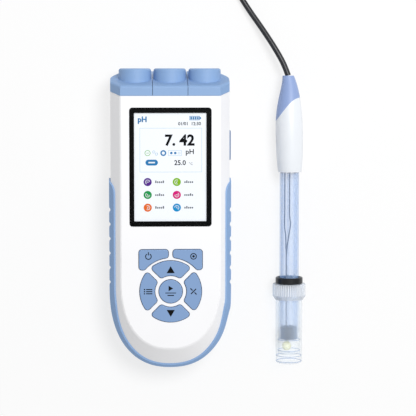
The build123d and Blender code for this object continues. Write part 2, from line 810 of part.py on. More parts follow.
def base_plug():
    """Dark plug that closes the stem."""
    radius = stem_radius - stem_wall - 0.03
    return tube_y(radius, 0, stem_bottom_y, stem_bottom_y + plug_length, probe_x, probe_z)


def glass_bulb():
    """Glass neck and sensing bulb below the plug."""
    centre_x = probe_x + bulb_shift
    neck = tube_y(bulb_neck_radius, 0, stem_bottom_y - bulb_drop, stem_bottom_y, centre_x, probe_z)
    return neck + Pos(centre_x, stem_bottom_y - bulb_drop, probe_z) * Sphere(bulb_radius)


def rubber_ring():
    """Black ring that grips the stem, with a lipped top and a spigot into the collar."""
    bore = stem_radius + ring_gap_to_stem
    low = collar_top_y + flat_gap
    high = collar_top_y + ring_thickness
    spigot = collar_hole_radius - soft_gap
    spigot_low = neck_top_y + soft_gap
    return turned(
        [
            (bore, spigot_low), (spigot, spigot_low), (spigot, low),
            (ring_radius - 0.3, low), (ring_radius, low + 0.3),
            (ring_radius, high - 0.4), (ring_radius - 0.4, high), (bore + ring_lip, high),
            (bore + ring_lip * 0.6, high - 0.7), (bore, high - 0.7),
        ],
        probe_x, probe_z,
    )


def collar():
    """Knurled screw collar of the storage bottle, tapering to the bottle's shoulder."""
    points = []
    for tooth in range(knurl_count):
        for step, sunk in ((0, 0), (0.45, 0), (0.55, knurl_depth), (0.9, knurl_depth)):
            turn = 2 * pi * (tooth + step) / knurl_count
            points.append(((collar_radius - sunk) * sin(turn), (collar_radius - sunk) * cos(turn)))
    ribs = extrude(probe_plane(collar_low_y) * make_face(Polyline(*points, close=True)), collar_length)
    foot = bottle_radius + soft_gap
    form = turned(
        [
            (0, collar_low_y), (foot, collar_low_y), (collar_radius, collar_low_y + collar_taper_length),
            (collar_radius, collar_top_y - 0.5), (collar_radius - 0.5, collar_top_y), (0, collar_top_y),
        ],
        probe_x, probe_z,
    )
    low = collar_low_y - 1
    body = (ribs & form) - tube_y(collar_hole_radius, 0, low, collar_top_y + 1, probe_x, probe_z)
    return body - tube_y(neck_radius + soft_gap, 0, low, collar_top_y - collar_roof, probe_x, probe_z)


def storage_bottle():
    """Clear bottle with a thick base, a shoulder and a plain neck."""
    inside = bottle_radius - bottle_wall
    floor = bottle_bottom_y + bottle_base
    shoulder = collar_low_y - flat_gap
    return turned(
        [
            (0, bottle_bottom_y), (bottle_radius - 1.3, bottle_bottom_y),
            (bottle_radius - 0.4, bottle_bottom_y + 0.4), (bottle_radius, bottle_bottom_y + 1.3),
            (bottle_radius, shoulder), (neck_radius, shoulder), (neck_radius, neck_top_y),
            (neck_bore, neck_top_y), (neck_bore, shoulder - 1), (inside, shoulder - 2.5),
            (inside, floor + 1.2), (inside - 1.2, floor), (0, floor),
        ],
        probe_x, probe_z,
    )


def run_vectors(points):
    """The straight runs from each point of a route to the next."""
    return [Vector(*after) - Vector(*before) for before, after in zip(points, points[1:])]


def bend_radii(points):
    """The largest arcs that the runs of a route allow, one for each inner point."""
    runs = run_vectors(points)
    radii = []
    for before, after in zip(runs, runs[1:]):
        half_turn = radians(before.get_angle(after) / 2)
        radii.append(0.45 * min(before.length, after.length) / tan(half_turn))
    return radii


def tube_along(points, radius):
    """A round tube along straight runs that tangent arcs join."""
    path = FilletPolyline(*points, radius=bend_radii(points))
    start = Plane(origin=points[0], z_dir=run_vectors(points)[0])
    return sweep(start * Circle(radius), path=path)


def cable_tube(points):
    """One free stretch of the cable; prints its bends and how its volume compares with its length."""
    tube = tube_along(points, cable_radius)
    radii = bend_radii(points)
    length = FilletPolyline(*points, radius=radii).length
    share = tube.volume / (pi * cable_radius**2 * length)
    print("bend radii", [round(radius, 1) for radius in radii])
    print("length", round(length, 1), "share of volume", round(share, 4))
    return tube


def cable_coil():
    """Outer form of the coiled cable, a flat ring on the table."""
    section = RectangleRounded(coil_width, coil_height, coil_height * 0.42)
    profile = Plane.XZ * Pos(coil_mean_radius, coil_height / 2 + 0.1) * section
    return Pos(*coil_centre, 0) * revolve(profile, Axis.Z)


def along_x(points):
    """A solid turned about the plug's axis, from its half profile of distance and radius."""
    start_x, start_y, start_z = bnc_plug_start
    profile = Pos(start_x, start_y, start_z) * make_face(Polyline(*points, close=True))
    return revolve(profile, Axis(bnc_plug_start, (1, 0, 0)))


def plug_boot():
    """Tapered rubber bend guard of the plug, with three grooves."""
    length = bnc_plug_boot_length
    points = [(0, 0), (0, cable_radius + 0.9)]
    for number in range(3):
        place = length * (0.2 + 0.22 * number)
        radius = cable_radius + 0.9 + place * 0.13
        points += [(place, radius), (place, radius - 0.6)]
        points += [(place + 1, radius - 0.6), (place + 1, radius + 0.15)]
    return along_x(points + [(length, bnc_plug_body_radius - 0.8), (length, 0)])


def plug_body():
    """Plug's rear nut and the thin inner sleeve that enters a socket."""
    start = bnc_plug_boot_length
    shoulder = start + bnc_plug_body_length
    front = shoulder + sleeve_length
    return along_x(
        [
            (start, 0), (start, bnc_plug_body_radius - 0.4), (start + 0.4, bnc_plug_body_radius),
            (shoulder, bnc_plug_body_radius), (shoulder, plug_sleeve_radius), (front, plug_sleeve_radius),
            (front, plug_sleeve_radius - 0.5), (shoulder + 3, plug_sleeve_radius - 0.5), (shoulder + 3, 0),
        ]
    )


def plug_pin():
    """White insulator and centre pin of the plug."""
    start = bnc_plug_boot_length + bnc_plug_body_length + 3
    core = plug_sleeve_radius - 0.55
    insulator = [(start, 0), (start, core), (start + 3, core)]
    return along_x(insulator + [(start + 3, 0.65), (start + 8, 0.65), (start + 8.6, 0)])


def bayonet_sleeve():
    """Turning sleeve of the plug with its two lug slots."""
    start = bnc_plug_boot_length + bnc_plug_body_length + flat_gap
    end = start + sleeve_length
    rear_bore = plug_sleeve_radius + soft_gap
    sleeve = along_x(
        [
            (start, rear_bore), (start, sleeve_radius - 0.5), (start + 0.5, sleeve_radius),
            (end - 0.5, sleeve_radius), (end, sleeve_radius - 0.5), (end, bnc_radius + flat_gap),
            (start + 2.2, bnc_radius + flat_gap), (start + 2.2, rear_bore),
        ]
    )
    slot_x = bnc_plug_start[0] + end - 2
    return sleeve - Pos(slot_x, bnc_plug_start[1], bnc_plug_start[2]) * Box(4.2, 3 * sleeve_radius, 2.2)


def meter_pieces():
    """Every piece of the meter, by name."""
    band = grip_band()
    walls = hollow_case(band)
    shapes = sketch_keys()
    gasket = case_gasket()
    made = {"grip_band": band, "front_shell": front_shell(walls, shapes)}
    made["back_shell"] = back_shell(walls, gasket)
    names = ("window_pane", "window_mask", "display_screen", "display_module")
    made.update(zip(names, display_parts()))
    made.update({name: key(shape) for name, shape in shapes.items()})
    made["keypad_mat"] = keypad_mat()
    made["main_board"] = main_board()
    made["charging_board"] = charging_board()
    made["usb_socket"] = usb_socket()
    made["port_cover"] = port_cover()
    made["case_gasket"] = gasket
    made["battery_pack"] = battery_pack()
    made["battery_door"] = battery_door()
    made["door_gasket"] = door_gasket()
    made["socket_panel"] = socket_panel()
    left, middle, right = cover_centres()
    made["ph_socket"] = socket_body(left, bnc_radius, bnc_wall, True)
    made["ph_socket_core"] = socket_core(left, bnc_radius, bnc_wall, 1)
    made["cell_socket"] = socket_body(middle, din_radius, bnc_wall, False)
    made["cell_socket_core"] = socket_core(middle, din_radius, bnc_wall, 5)
    made["temperature_socket"] = socket_body(right, phono_radius, bnc_wall, False)
    made["temperature_socket_core"] = socket_core(right, phono_radius, bnc_wall, 1)
    made["socket_nuts"] = socket_nuts()
    split = cover_pitch / 2
    edge = body_half_width + 1
    made["socket_cover_left"] = socket_cover(left, -edge, -split - cover_split / 2)
    made["socket_cover_middle"] = socket_cover(middle, -split + cover_split / 2, split - cover_split / 2)
    made["socket_cover_right"] = socket_cover(right, split + cover_split / 2, edge)
    return made


def fasteners():
    """The screws, each kind as one group of separate solids."""
    case = [
        screw(
            centre, case_screw_seat - case_screw_head_height, case_screw_radius, case_screw_head_radius,
            case_screw_head_height, parting_height + case_screw_reach - case_screw_seat,
        )
        for centre in case_posts()
    ]
    door = [
        screw(
            centre, 0.3, small_screw_radius, small_screw_head_radius, small_screw_head_height,
            door_thickness + door_screw_reach - 0.5 - small_screw_head_height,
        )
        for centre in door_screws()
    ]
    board_low = board_top - board_thickness - small_screw_head_height
    board = [
        screw(
            centre, board_low, small_screw_radius, small_screw_head_radius, small_screw_head_height,
            board_thickness + face_inside - board_top - 0.6,
        )
        for centre in board_posts()
    ]
    shank = charge_screw_reach + board_thickness - 0.4
    charge = [mirrored_screw(centre, charge_board_top, shank) for centre in charge_posts()]
    return {"case_screws": case, "door_screws": door, "board_screws": board, "charging_board_screws": charge}


def mirrored_screw(centre, seat, shank):
    """A small screw that points down, with its head on the seat."""
    upright = screw((0, 0), 0, small_screw_radius, small_screw_head_radius, small_screw_head_height, shank)
    return Pos(*centre, seat + small_screw_head_height) * Rot(180, 0, 0) * upright


def probe_pieces():
    """Every piece of the probe with its bottle and cable, by name."""
    return {
        "bend_boot": bend_boot(),
        "probe_cap": probe_cap(),
        "outer_tube": outer_tube(),
        "inner_tube": inner_tube(),
        "lead_wires": lead_wires(),
        "base_plug": base_plug(),
        "glass_bulb": glass_bulb(),
        "rubber_ring": rubber_ring(),
        "bottle_collar": collar(),
        "storage_bottle": storage_bottle(),
        "cable_lead": cable_tube(cable_lead_route),
        "cable_tail": cable_tube(cable_tail_route),
        "cable_coil": cable_coil(),
        "plug_boot": plug_boot(),
        "plug_body": plug_body(),
        "plug_pin": plug_pin(),
        "bayonet_sleeve": bayonet_sleeve(),
    }


def write_all():
    """Writes each piece as one file named after it."""
    for maker in (meter_pieces, fasteners, probe_pieces):
        for name, shape in maker().items():
            solid = shape if isinstance(shape, (Part, Compound, Solid)) else Compound(children=list(shape))
            export_step(solid, f"parts/{name}.step")
            print(name, round(solid.volume, 1))


write_all()
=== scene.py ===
# %% [markdown]
# A handheld water meter lies on a white table beside its glass electrode, whose tip is in a clear storage
# bottle. The solid pieces come from the CAD model as a fixed frame. This lesson gives each of them the finish
# that the real moulding, rubber, glass or metal has, and adds what only shows on the surface: the picture on
# the display, the prints on the keys, the grain and the cable.

# %% The CAD model as a frame
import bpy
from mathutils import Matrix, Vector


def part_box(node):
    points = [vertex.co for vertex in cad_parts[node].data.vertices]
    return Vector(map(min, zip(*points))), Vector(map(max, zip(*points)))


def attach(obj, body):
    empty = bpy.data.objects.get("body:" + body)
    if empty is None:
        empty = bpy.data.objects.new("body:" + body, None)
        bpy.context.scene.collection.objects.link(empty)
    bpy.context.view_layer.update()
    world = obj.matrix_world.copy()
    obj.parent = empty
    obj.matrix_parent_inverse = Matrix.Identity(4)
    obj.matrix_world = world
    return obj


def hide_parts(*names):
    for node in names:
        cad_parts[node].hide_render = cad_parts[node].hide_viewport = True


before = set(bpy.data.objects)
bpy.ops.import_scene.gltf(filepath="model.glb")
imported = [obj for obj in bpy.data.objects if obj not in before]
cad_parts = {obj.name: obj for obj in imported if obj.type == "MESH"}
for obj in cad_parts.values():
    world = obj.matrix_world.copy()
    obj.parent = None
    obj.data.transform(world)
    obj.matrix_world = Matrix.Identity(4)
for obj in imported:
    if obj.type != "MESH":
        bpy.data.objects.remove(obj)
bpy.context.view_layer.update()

from math import cos, pi, radians, sin

import bmesh
import bpy
from mathutils import Matrix, Vector

MM = 0.001
scene = bpy.context.scene

# %% [markdown]
# ## Camera
# A product photograph of a flat object is taken from about a metre above it. The camera stands over the
# meter's upper end, so the meter's rounded lower end and its left side are seen a little from outside. The
# matrix is built from three axes, because a camera that looks straight down has no natural way up.

# %% Camera
eye = Vector((-20.1, 93.05, 1034.0)) * MM
target = Vector((22.9, 7.45, 34.0)) * MM
frame_width = 254.3 * MM
back = (eye - target).normalized()
across = Vector((0, 1, 0)).cross(back).normalized()
upward = back.cross(across)
camera_data = bpy.data.cameras.new("camera")
camera_data.sensor_width = 36.0
camera_data.lens = camera_data.sensor_width * (eye - target).length / frame_width
camera = bpy.data.objects.new("camera", camera_data)
scene.collection.objects.link(camera)
camera.matrix_world = Matrix.Translation(eye) @ Matrix((across, upward, back)).transposed().to_4x4()
scene.camera = camera
print("lens", round(camera_data.lens, 1), "mm")

# %% [markdown]
# ## Helpers for finishes
# A finish is a small graph of nodes. Written out one by one, the maths in it is hard to read, so a Wire stands
# for one output socket and turns plus and times into Math nodes. Every other node comes from
# one method: it takes the node's type, its settings, and what its sockets get.

# %% Wires and finishes
class Wire:
    """An output socket that can be added and multiplied like a number."""

    def __init__(self, finish, socket):
        self.finish = finish
        self.socket = socket

    def maths(self, operation, *values):
        return self.finish.node("ShaderNodeMath", {"operation": operation}, dict(enumerate(values)))

    def __add__(self, other):
        return self.maths("ADD", self, other)

    def __mul__(self, other):
        return self.maths("MULTIPLY", self, other)

    __radd__ = __add__
    __rmul__ = __mul__


class Finish:
    """A material under construction, with one shader at its end."""

    def __init__(self, name):
        self.material = bpy.data.materials.new(name)
        self.material.use_nodes = True
        self.nodes = self.material.node_tree.nodes
        self.nodes.clear()

    def node(self, kind, settings=None, sockets=None, output=0):
        made = self.nodes.new(kind)
        for name, value in (settings or {}).items():
            setattr(made, name, value)
        for name, value in (sockets or {}).items():
            if isinstance(value, Wire):
                self.material.node_tree.links.new(value.socket, made.inputs[name])
            else:
                made.inputs[name].default_value = value
        return Wire(self, made.outputs[output]) if made.outputs else made

    def place(self, scale=(1, 1, 1)):
        """Object coordinates, stretched."""
        here = self.node("ShaderNodeTexCoord", output=3)
        return self.node("ShaderNodeMapping", {}, {"Vector": here, "Scale": scale})

    def noise(self, scale, detail=2.0, stretch=(1, 1, 1)):
        sockets = {"Vector": self.place(stretch), "Scale": scale, "Detail": detail}
        return self.node("ShaderNodeTexNoise", {}, sockets)

    def blend(self, mask, low, high):
        """A colour between low and high."""
        return self.node("ShaderNodeMix", {"data_type": "RGBA"}, {0: mask, 6: low, 7: high}, output=2)

    def bump(self, height, distance):
        return self.node("ShaderNodeBump", {}, {"Height": height, "Distance": distance, "Strength": 1.0})

    def plastic(self, sockets):
        """The shader that most finishes end in."""
        return self.node("ShaderNodeBsdfPrincipled", {}, sockets)

    def close(self, shader):
        self.node("ShaderNodeOutputMaterial", {}, {"Surface": shader})
        return self.material


def linear(red, green, blue):
    """A colour as it is seen on a screen, 0 to 255, in the linear values that shaders use."""
    parts = [value / 255 for value in (red, green, blue)]
    return [part / 12.92 if part <= 0.04045 else ((part + 0.055) / 1.055) ** 2.4 for part in parts] + [1.0]


def scaled(colour, share):
    """The same colour, darker or paler."""
    return [min(1.0, part * share) for part in colour[:3]] + [1.0]


def coat_node(node, material):
    """Gives a piece of the frame its finish."""
    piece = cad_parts[node]
    piece.data.materials.clear()
    piece.data.materials.append(material)


print("finish helpers ready")

# %% [markdown]
# ## Table and light
# The table is plain white. What the camera sees of it is brightened a little through Light Path, so that it
# reads as white paper while the lamp stays soft. One large lamp hangs to the upper right, as the pale right
# bevel and the grey left bevel of the real case show.

# %% Table
def table_finish():
    finish = Finish("table")
    diffuse = finish.node("ShaderNodeBsdfDiffuse", {}, {"Color": (0.9, 0.9, 0.9, 1)})
    paper = finish.node("ShaderNodeEmission", {}, {"Strength": 1.0})
    path = finish.node("ShaderNodeLightPath")
    seen = finish.node("ShaderNodeMix", {}, {0: path, 2: 0.0, 3: table_lift})
    return finish.close(finish.node("ShaderNodeMixShader", {}, {0: seen, 1: diffuse, 2: paper}))


table_lift = 0.75
table_half = 1.5
mesh = bpy.data.meshes.new("table")
corners = [(-1, -1), (1, -1), (1, 1), (-1, 1)]
mesh.from_pydata([(x * table_half, y * table_half, 0.0) for x, y in corners], [], [(0, 1, 2, 3)])
mesh.materials.append(table_finish())
table = bpy.data.objects.new("table", mesh)
scene.collection.objects.link(table)

# %% Lamps and sky
def lamp(name, place, aim, size, watts):
    data = bpy.data.lights.new(name, "AREA")
    data.shape = "DISK"
    data.size = size
    data.energy = watts
    made = bpy.data.objects.new(name, data)
    direction = (Vector(aim) - Vector(place)).normalized()
    made.matrix_world = Matrix.Translation(place) @ direction.to_track_quat("-Z", "Y").to_matrix().to_4x4()
    scene.collection.objects.link(made)
    return made


lamp_place = (0.36, 0.44, 1.2)
lamp_aim = (0.02, 0.0, 0.0)
lamp_size = 0.6
lamp_watts = 13.0
sky_strength = 0.4
lamp("key_lamp", lamp_place, lamp_aim, lamp_size, lamp_watts)
world = bpy.data.worlds.new("sky")
scene.world = world
world.use_nodes = True
sky = world.node_tree.nodes["Background"]
sky.inputs["Color"].default_value = (1, 1, 1, 1)
sky.inputs["Strength"].default_value = sky_strength
scene.view_settings.view_transform = "Standard"
print("table, one lamp and a white sky")

# %% [markdown]
# ## Moulded white plastic
# The case and the probe's handle are satin mouldings: nearly white, with a very fine spark-eroded grain that
# only shows where light glances off, and slow changes of gloss where the mould has worn. Noise on Object
# coordinates does both, because the pieces have no UV map.

# %% White mouldings
def moulding(name, colour, rough, grain_size, grain_depth, shade=0.94, shine=0.5):
    """Satin plastic or rubber with a fine grain and slow changes of tone and gloss."""
    finish = Finish(name)
    cloud = finish.noise(38.0, 3.0)
    grain = finish.noise(grain_size, 2.0)
    sockets = {
        "Base Color": finish.blend(cloud, scaled(colour, shade), colour),
        "Roughness": rough + cloud * 0.12,
        "Specular IOR Level": shine,
        "Normal": finish.bump(grain, grain_depth),
    }
    return finish.close(finish.plastic(sockets))


white_case = moulding("white_case", linear(249, 249, 251), 0.32, 2600.0, 0.00002, shade=0.97)
for node in ("front_shell", "back_shell", "battery_door"):
    coat_node(node, white_case)
coat_node("probe_cap", moulding("cap_white", linear(234, 238, 243), 0.3, 2600.0, 0.00001, shade=0.98))
print("white mouldings done")

# %% [markdown]
# ## Blue rubber
# The grip and the covers are the same pale blue silicone. It is matt, with a slightly coarser grain than the
# case, and a little dust makes its tone uneven. The keys are darker and smoother than the grip. The cover of
# the side port stands on the side face, and its darker blue is painted shade.

# %% Rubber
blue_tone = linear(138, 171, 214)
blue_grip = moulding("blue_grip", blue_tone, 0.5, 1900.0, 0.00004)
blue_key = moulding("blue_key", linear(128, 160, 204), 0.4, 3200.0, 0.00001)
boot_blue = moulding("boot_blue", linear(146, 168, 214), 0.42, 2400.0, 0.00002)
black_rubber = moulding("black_rubber", linear(22, 23, 27), 0.22, 2200.0, 0.00002, shade=0.7)
grey_rubber = moulding("grey_rubber", linear(120, 124, 130), 0.6, 1500.0, 0.00003)
key_nodes = ["key_up", "key_down", "key_left", "key_right", "key_centre", "key_upper_left", "key_upper_right"]
cover_nodes = ["socket_cover_left", "socket_cover_middle", "socket_cover_right"]
for node in ["grip_band"] + cover_nodes:
    coat_node(node, blue_grip)
# The side port's cover is the same silicone as the grip; its darker blue is painted shade for its place on the
# side face.
coat_node("port_cover", moulding("port_blue_painted_shade", linear(84, 120, 168), 0.5, 1900.0, 0.00004))
for node in key_nodes:
    coat_node(node, blue_key)
for node in ("rubber_ring", "plug_boot"):
    coat_node(node, black_rubber)
for node in ("keypad_mat", "case_gasket", "door_gasket"):
    coat_node(node, grey_rubber)
coat_node("bend_boot", boot_blue)
coat_node("base_plug", moulding("base_plug", linear(62, 66, 76), 0.45, 2000.0, 0.00003, shade=0.7))
print("rubber done")

# %% [markdown]
# ## Metal, board and pack
# These pieces sit inside the case, in the sockets or at the cable's end. Turned and pressed metal is brushed
# by its tool, so its roughness follows a noise that is stretched along one direction.

# %% Metal and inner pieces
def metal(name, colour, rough, stretch):
    finish = Finish(name)
    strokes = finish.noise(900.0, 2.0, stretch)
    sockets = {
        "Base Color": finish.blend(strokes, scaled(colour, 0.82), colour),
        "Metallic": 1.0,
        "Roughness": rough + strokes * 0.18,
        "Normal": finish.bump(strokes, 0.000004),
    }
    return finish.close(finish.plastic(sockets))


nickel = metal("nickel", linear(205, 203, 196), 0.16, (0.1, 1, 1))
steel = metal("steel", linear(180, 181, 184), 0.28, (1, 0.1, 1))
lead_metal = metal("lead_metal", linear(140, 146, 160), 0.3, (1, 0.1, 1))
white_insulator = moulding("white_insulator", linear(238, 237, 230), 0.4, 1500.0, 0.00001)
dark_panel = moulding("dark_panel", linear(52, 54, 58), 0.5, 1800.0, 0.00003, shade=0.8)
board_green = moulding("board_green", linear(28, 96, 62), 0.3, 500.0, 0.00005, shade=0.6)
pack_blue = moulding("pack_blue", linear(40, 74, 140), 0.25, 300.0, 0.00005, shade=0.8)
inner_finishes = {
    nickel: ["ph_socket", "cell_socket", "temperature_socket", "socket_nuts", "plug_body", "bayonet_sleeve"],
    steel: [
        "display_module", "usb_socket", "case_screws", "door_screws", "board_screws", "charging_board_screws",
    ],
    white_insulator: ["ph_socket_core", "cell_socket_core", "temperature_socket_core", "plug_pin"],
    board_green: ["main_board", "charging_board"],
    dark_panel: ["socket_panel"],
    pack_blue: ["battery_pack"],
    lead_metal: ["lead_wires"],
}
for material, nodes in inner_finishes.items():
    for node in nodes:
        coat_node(node, material)
print("inner pieces done")

# %% [markdown]
# ## Clear plastic and glass
# The stem is a clear tube filled with gel, so it looks faintly blue, and the bottle is clear polystyrene. Bent
# glass could be rendered with real transmission, but the walls here are thin and stand one behind another, and
# each would darken the next. So a wall is see-through by Alpha, which rises where the sight glances along it,
# as it does at the edges of a tube. For shadow rays the wall is nearly open, because clear plastic throws only
# a pale shadow.

# %% Clear pieces
def light_passes(finish, wall):
    """The wall as it is seen, but nearly open to the light that would throw its shadow."""
    open_air = finish.node("ShaderNodeBsdfTransparent", {}, {"Color": [0.95, 0.97, 0.99, 1.0]})
    shadow = finish.node("ShaderNodeLightPath", output=1)
    return finish.node("ShaderNodeMixShader", {}, {0: shadow, 1: wall, 2: open_air})


def thin_clear(name, colour, rough, least, gain):
    """A thin clear wall: see-through when faced, and more solid where the sight glances along it."""
    finish = Finish(name)
    wisp = finish.noise(420.0, 3.0, (1, 0.3, 1))
    glance = finish.node("ShaderNodeLayerWeight", {}, {"Blend": 0.35}, output=1)
    sockets = {
        "Base Color": finish.blend(wisp, colour, scaled(colour, 1.1)),
        "Roughness": rough + wisp * 0.05,
        "Alpha": least + glance * gain,
        "Normal": finish.bump(wisp, 0.00001),
    }
    return finish.close(light_passes(finish, finish.plastic(sockets)))


coat_node("outer_tube", thin_clear("stem_clear", linear(158, 190, 232), 0.05, 0.09, 0.5))
coat_node("inner_tube", thin_clear("inner_glass", linear(206, 219, 238), 0.05, 0.05, 0.45))
coat_node("glass_bulb", thin_clear("bulb_glass", linear(250, 246, 204), 0.05, 0.5, 0.4))
bottle_clear = thin_clear("bottle_clear", linear(238, 245, 254), 0.06, 0.12, 0.3)
coat_node("storage_bottle", bottle_clear)
coat_node("bottle_collar", thin_clear("collar_clear", linear(208, 213, 221), 0.12, 0.4, 0.4))
coat_node("window_pane", thin_clear("pane_clear", linear(8, 9, 11), 0.02, 0.02, 0.3))
coat_node("window_mask", moulding("mask_black", linear(5, 6, 7), 0.2, 1500.0, 0.0, shade=0.8, shine=0.1))
most_walls_in_line = 24
scene.cycles.transparent_max_bounces = most_walls_in_line
print("clear pieces done, sight passes", most_walls_in_line, "walls")

# %% [markdown]
# ## Cable
# The electrode's lead is a thin limp cable. It leaves the blue cone, slopes down to the table and goes on to a
# neat coil above the picture, where the length that the photograph doesn't show is put away. The control
# points of the free stretches are listed one by one; the turns of the coil come from a loop. A NURBS curve of
# order 3 passes near them in one smooth line.

# %% Cable route
lead_route = [
    (73.9, 88.0, 10.4), (71.9, 93.6, 10.2), (68.7, 99.9, 9.7), (64.1, 107.6, 8.5), (57.6, 117.6, 6.2),
    (49.9, 128.6, 3.6), (42.6, 140.2, 2.2), (37.6, 152.0, 1.95), (35.6, 159.0, 1.95),
]
tail_route = [
    (69.5, 192.2, 5.6), (77.0, 191.7, 4.4), (85.0, 192.8, 5.4), (92.0, 194.0, 7.3), (97.0, 194.0, 7.4),
]
coil_middle = (55.0, 172.0)
cable_diameter = 3.6
turn_radii = [24.3, 21.0, 17.3, 17.3, 21.0, 24.4, 24.8]
turn_heights = [1.95, 1.95, 1.95, 5.6, 5.6, 5.6, 5.6]
start_angle = 206.0
end_angle = 62.0
points_a_turn = 16


def between(values, place):
    """The value at a place along a list, in straight steps."""
    low = min(int(place), len(values) - 2)
    return values[low] + (values[low + 1] - values[low]) * (place - low)


def coil_points():
    """Turns that wind inwards on the table and outwards on top of themselves."""
    turned = start_angle - end_angle + 360 * (len(turn_radii) - 1)
    count = round(turned / 360 * points_a_turn)
    points = []
    for step in range(1, count):
        angle = radians(start_angle - turned * step / count)
        place = (len(turn_radii) - 1) * step / count
        radius = between(turn_radii, place)
        points.append((coil_middle[0] + radius * cos(angle), coil_middle[1] + radius * sin(angle),
                       between(turn_heights, place)))
    return points


def smooth_curve(name, points, radius, material):
    """A round tube along one smooth line near its control points, which are in millimetres."""
    data = bpy.data.curves.new(name, "CURVE")
    data.dimensions = "3D"
    data.bevel_depth = radius * MM
    data.bevel_resolution = 5
    data.resolution_u = 6
    data.use_fill_caps = True
    spline = data.splines.new("NURBS")
    spline.points.add(len(points) - 1)
    for point, place in zip(spline.points, points):
        point.co = [value * MM for value in place] + [1.0]
    spline.order_u = 3
    spline.use_endpoint_u = True
    data.materials.append(material)
    made = bpy.data.objects.new(name, data)
    scene.collection.objects.link(made)
    return made


cable_skin = moulding("cable_skin", linear(38, 40, 45), 0.34, 1700.0, 0.00003, shade=0.6)
cable = smooth_curve("cable", lead_route + coil_points() + tail_route, cable_diameter / 2, cable_skin)
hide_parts("cable_lead", "cable_coil", "cable_tail")
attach(cable, "probe")
print("cable with", len(coil_points()), "points in its coil")

# %% [markdown]
# ## Ribs of the collar
# The bottle's screw collar has fine upright ribs all round, to be turned by wet fingers. One rib is repeated
# round a circle by Geometry Nodes, which keeps their count, length and reach as named inputs.

# %% Collar ribs
def rib_tree(material):
    """Slim six-sided rods on a circle about the Y axis."""
    tree = bpy.data.node_groups.new("collar_rib_tree", "GeometryNodeTree")
    shape = tree.interface
    shape.new_socket("Geometry", in_out="OUTPUT", socket_type="NodeSocketGeometry")
    inputs = {}
    for name in ("Count", "Reach", "Length", "Thickness"):
        kind = "NodeSocketInt" if name == "Count" else "NodeSocketFloat"
        inputs[name] = shape.new_socket(name, in_out="INPUT", socket_type=kind).identifier
    given = tree.nodes.new("NodeGroupInput").outputs
    circle = tree.nodes.new("GeometryNodeMeshCircle")
    tree.links.new(given["Count"], circle.inputs["Vertices"])
    tree.links.new(given["Reach"], circle.inputs["Radius"])
    rod = tree.nodes.new("GeometryNodeMeshCylinder")
    rod.inputs["Vertices"].default_value = 6
    tree.links.new(given["Thickness"], rod.inputs["Radius"])
    tree.links.new(given["Length"], rod.inputs["Depth"])
    spread = tree.nodes.new("GeometryNodeInstanceOnPoints")
    tree.links.new(circle.outputs["Mesh"], spread.inputs["Points"])
    tree.links.new(rod.outputs["Mesh"], spread.inputs["Instance"])
    upright = tree.nodes.new("GeometryNodeTransform")
    upright.inputs["Rotation"].default_value = (radians(90), 0, 0)
    tree.links.new(spread.outputs["Instances"], upright.inputs["Geometry"])
    solid = tree.nodes.new("GeometryNodeRealizeInstances")
    tree.links.new(upright.outputs["Geometry"], solid.inputs["Geometry"])
    coat = tree.nodes.new("GeometryNodeSetMaterial")
    coat.inputs["Material"].default_value = material
    tree.links.new(solid.outputs["Geometry"], coat.inputs["Geometry"])
    tree.links.new(coat.outputs["Geometry"], tree.nodes.new("NodeGroupOutput").inputs["Geometry"])
    return tree, inputs


rib_count = 44
rib_thickness = 0.34 * MM
rib_end_margin = 0.6 * MM
collar_taper = 2.4 * MM
collar_low, collar_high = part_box("bottle_collar")
collar_radius = (collar_high[0] - collar_low[0]) / 2
rib_length = collar_high[1] - collar_low[1] - collar_taper - 2 * rib_end_margin
rib_middle = Vector(((collar_low[0] + collar_high[0]) / 2, collar_high[1] - rib_end_margin - rib_length / 2,
                     (collar_low[2] + collar_high[2]) / 2))
rib_clear = thin_clear("rib_clear", linear(246, 248, 251), 0.1, 0.6, 0.35)
tree, inputs = rib_tree(rib_clear)
maker = bpy.data.objects.new("rib_maker", bpy.data.meshes.new("rib_maker"))
scene.collection.objects.link(maker)
modifier = maker.modifiers.new("ribs", "NODES")
modifier.node_group = tree
rib_reach = collar_radius - rib_thickness
sizes = {"Count": rib_count, "Reach": rib_reach, "Length": rib_length, "Thickness": rib_thickness}
for name, value in sizes.items():
    modifier[inputs[name]] = value
graph = bpy.context.evaluated_depsgraph_get()
rib_mesh = bpy.data.meshes.new_from_object(maker.evaluated_get(graph))
maker.modifiers.remove(modifier)
bpy.data.objects.remove(maker)
rib_mesh.transform(Matrix.Translation(rib_middle))
collar_ribs = bpy.data.objects.new("collar_ribs", rib_mesh)
scene.collection.objects.link(collar_ribs)
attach(collar_ribs, "collar")
print("ribs:", rib_count, "of", round(rib_length / MM, 1), "mm")

# %% [markdown]
# ## Beads of the bottle
# Thin round beads are moulded into the bottle's wall near its floor and its foot, and show as fine bluish
# lines. Each is a small torus whose points come from two angles, and all of them are one mesh. A bead's place
# is its height above the bottle's foot and how far in it lies from the outer wall, in millimetres.

# %% Bottle beads
bead_places = [(14.9, 1.35), (8.1, 1.35), (4.7, 0.55), (1.2, 0.45)]
bead_thickness = 0.22 * MM
bead_steps = 48
bead_sides = 6
bottle_low, bottle_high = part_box("storage_bottle")
bottle_x = (bottle_low[0] + bottle_high[0]) / 2
bottle_z = (bottle_low[2] + bottle_high[2]) / 2
bottle_radius = (bottle_high[0] - bottle_low[0]) / 2
spots, walls = [], []
for height, inset in bead_places:
    first = len(spots)
    level = bottle_low[1] + height * MM
    reach = bottle_radius - inset * MM
    for step in range(bead_steps):
        turn = 2 * pi * step / bead_steps
        here = step * bead_sides
        there = (step + 1) % bead_steps * bead_sides
        for side in range(bead_sides):
            tilt = 2 * pi * side / bead_sides
            out = reach + bead_thickness * cos(tilt)
            up = level + bead_thickness * sin(tilt)
            spots.append((bottle_x + out * cos(turn), up, bottle_z + out * sin(turn)))
            after = (side + 1) % bead_sides
            wall = (here + side, here + after, there + after, there + side)
            walls.append([first + part for part in wall])
